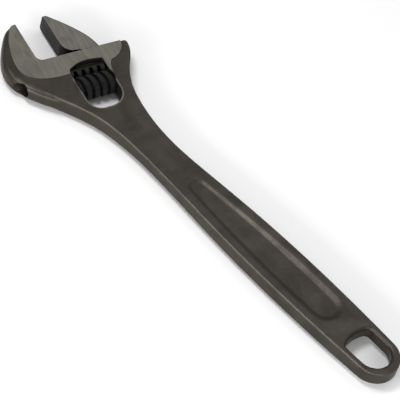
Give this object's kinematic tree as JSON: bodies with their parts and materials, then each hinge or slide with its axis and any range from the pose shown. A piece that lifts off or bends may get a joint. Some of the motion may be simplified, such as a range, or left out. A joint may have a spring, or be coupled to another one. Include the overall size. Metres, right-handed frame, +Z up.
{
  "type": "adjustable wrench",
  "caption": "Adjustable wrench with a forged handle, a fixed jaw, a sliding jaw moved by a knurled worm, and a hanging hole.",
  "frame": {"origin": "bottom centre of the bounding box of the wrench lying flat on its face, jaws at rest opening", "axes": "+X along the handle from the jaws to the hanging hole, +Z up through the thickness, +Y across the handle, from the fixed jaw's side to the movable jaw's side"},
  "size_m": [0.3066, 0.0772, 0.0144],
  "materials": {
    "phosphated_steel": "forged and phosphated, dark brown-grey satin, ground flat around the throat",
    "jaw_steel": "ground flat faces, dark phosphated sides",
    "knurl_steel": "blackened, knurled",
    "pin_steel": "blackened",
    "spring_steel": "bright spring wire"
  },
  "bodies": {
    "frame": {"wrench_body": "phosphated_steel", "knurl_pin": "pin_steel", "knurl_spring": "spring_steel"},
    "jaw": {"movable_jaw": "jaw_steel"},
    "worm": {"knurl": "knurl_steel"}
  },
  "joints": [
    {"name": "jaw_slide", "type": "slide", "parent": "frame", "child": "jaw", "axis": [0.2588, 0.9659, 0], "range_m": [-0.0186, 0.01535]},
    {"name": "knurl_spin", "type": "hinge", "parent": "frame", "child": "worm", "pos_m": [-0.09396, 0.00155, 0.0072], "axis": [0.2588, 0.9659, 0], "range_deg": [-1084.03, 1313.44]}
  ],
  "couplings": [
    {"joint": "knurl_spin", "follows": "jaw_slide", "rad_per_m": -1232}
  ]
}
